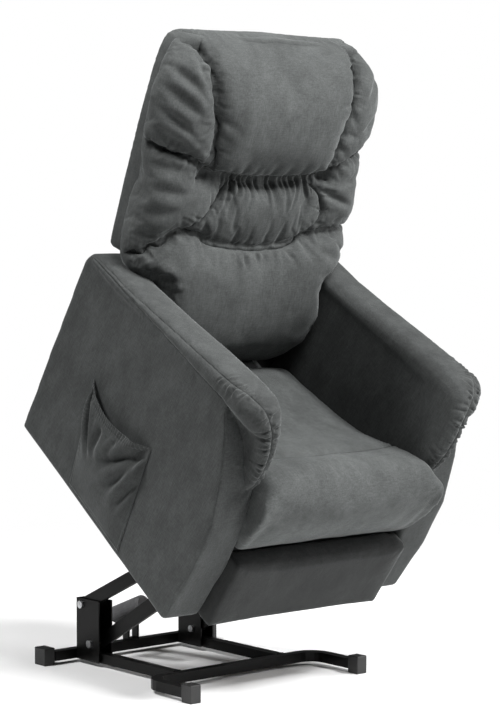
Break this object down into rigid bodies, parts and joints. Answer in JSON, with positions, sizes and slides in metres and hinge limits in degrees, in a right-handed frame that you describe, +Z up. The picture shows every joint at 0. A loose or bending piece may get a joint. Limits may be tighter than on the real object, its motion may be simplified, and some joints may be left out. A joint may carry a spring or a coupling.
{
  "type": "lift recliner armchair",
  "caption": "Upholstered rise-and-recline armchair on a steel lift base, shown raised, with padded back, headrest, footrest and side pocket.",
  "frame": {"origin": "on the floor, under the middle of the bounding box of the raised chair", "axes": "+Z up, the sitter faces -Y, +X is to the sitter's left"},
  "size_m": [0.78, 0.9588, 1.5927],
  "materials": {
    "upholstery": "matte",
    "wood": "matte",
    "black_steel": "satin",
    "zinc": "satin",
    "black_plastic": "matte",
    "motor_grey": "satin"
  },
  "bodies": {
    "base": {"base_front_bow": "black_steel", "base_rear_rail": "black_steel", "base_side_rail_l": "black_steel", "base_side_rail_r": "black_steel", "foot_front_l": "black_plastic", "foot_front_r": "black_plastic", "foot_rear_l": "black_plastic", "foot_rear_r": "black_plastic", "lift_bracket_l": "black_steel", "lift_bracket_r": "black_steel", "pin_upper_rear_l": "zinc", "pin_upper_rear_r": "zinc", "pin_lower_rear_l": "zinc", "pin_lower_rear_r": "zinc", "actuator_rear_pin": "zinc"},
    "upper_links": {"upper_link_l": "black_steel", "upper_link_r": "black_steel", "torque_tube": "black_steel", "actuator_front_pin": "zinc"},
    "lower_links": {"lower_link_l": "black_steel", "lower_link_r": "black_steel", "lower_cross_tube": "black_steel"},
    "actuator": {"actuator_gearbox": "black_plastic", "actuator_tube": "motor_grey", "actuator_motor": "motor_grey"},
    "rod": {"actuator_rod": "zinc"},
    "chair": {"arm_box_l": "upholstery", "arm_box_r": "upholstery", "arm_pad_l": "upholstery", "arm_pad_r": "upholstery", "side_pocket": "upholstery", "deck_board": "wood", "seat_cushion": "upholstery", "rear_panel": "upholstery", "seat_rail_l": "black_steel", "seat_rail_r": "black_steel", "cross_rail_front": "black_steel", "cross_rail_rear": "black_steel", "pin_upper_front_l": "zinc", "pin_upper_front_r": "zinc", "pin_lower_front_l": "zinc", "pin_lower_front_r": "zinc", "hinge_plate_l": "black_steel", "hinge_plate_r": "black_steel"},
    "backrest": {"back_shell": "upholstery", "lumbar_cushion": "upholstery", "back_cushion": "upholstery", "head_cushion": "upholstery", "wing_l": "upholstery", "wing_r": "upholstery", "back_bracket_l": "black_steel", "back_bracket_r": "black_steel"},
    "foot_rear_arms": {"foot_arm_rear_l": "black_steel", "foot_arm_rear_r": "black_steel"},
    "foot_front_arms": {"foot_arm_front_l": "black_steel", "foot_arm_front_r": "black_steel", "foot_cross_tube": "black_steel"},
    "footrest": {"footrest_board": "wood", "footrest_pad": "upholstery", "footrest_bracket": "black_steel"}
  },
  "joints": [
    {"name": "lift", "type": "hinge", "parent": "base", "child": "upper_links", "pos_m": [0.004, 0.4054, 0.154], "axis": [1, 0, 0], "range_deg": [0, 32.74]},
    {"name": "chair_tilt", "type": "hinge", "parent": "upper_links", "child": "chair", "pos_m": [0.004, -0.0337, 0.359], "axis": [1, 0, 0], "range_deg": [-69.4, 0]},
    {"name": "lower_link_swing", "type": "hinge", "parent": "base", "child": "lower_links", "pos_m": [0.004, 0.3684, 0.056], "axis": [1, 0, 0], "range_deg": [0, 29.3]},
    {"name": "actuator_swing", "type": "hinge", "parent": "base", "child": "actuator", "pos_m": [0.004, 0.4444, 0.1], "axis": [1, 0, 0], "range_deg": [0, 29]},
    {"name": "rod_slide", "type": "slide", "parent": "actuator", "child": "rod", "axis": [0, -0.9316, 0.3635], "range_m": [-0.0285, 0]},
    {"name": "recline", "type": "hinge", "parent": "chair", "child": "backrest", "pos_m": [0.004, 0.1707, 0.82154], "axis": [-1, 0, 0], "range_deg": [0, 45]},
    {"name": "footrest_lift", "type": "hinge", "parent": "chair", "child": "foot_rear_arms", "pos_m": [0.004, -0.12854, 0.42698], "axis": [-1, 0, 0], "range_deg": [0, 123.1]},
    {"name": "footrest_elbow", "type": "hinge", "parent": "foot_rear_arms", "child": "foot_front_arms", "pos_m": [0.004, 0.01426, 0.40181], "axis": [-1, 0, 0], "range_deg": [-104.6, 0]},
    {"name": "footrest_turn", "type": "hinge", "parent": "foot_front_arms", "child": "footrest", "pos_m": [0.004, -0.18782, 0.27147], "axis": [-1, 0, 0], "range_deg": [0, 71.6]}
  ],
  "couplings": [
    {"joint": "chair_tilt", "follows": "lift", "ratio": -2.1118},
    {"joint": "lower_link_swing", "follows": "lift", "ratio": 0.88881},
    {"joint": "actuator_swing", "follows": "lift", "ratio": 0.87948},
    {"joint": "rod_slide", "follows": "lift", "m_per_rad": -0.048277},
    {"joint": "footrest_elbow", "follows": "footrest_lift", "ratio": -0.84761},
    {"joint": "footrest_turn", "follows": "footrest_lift", "ratio": 0.57863}
  ]
}
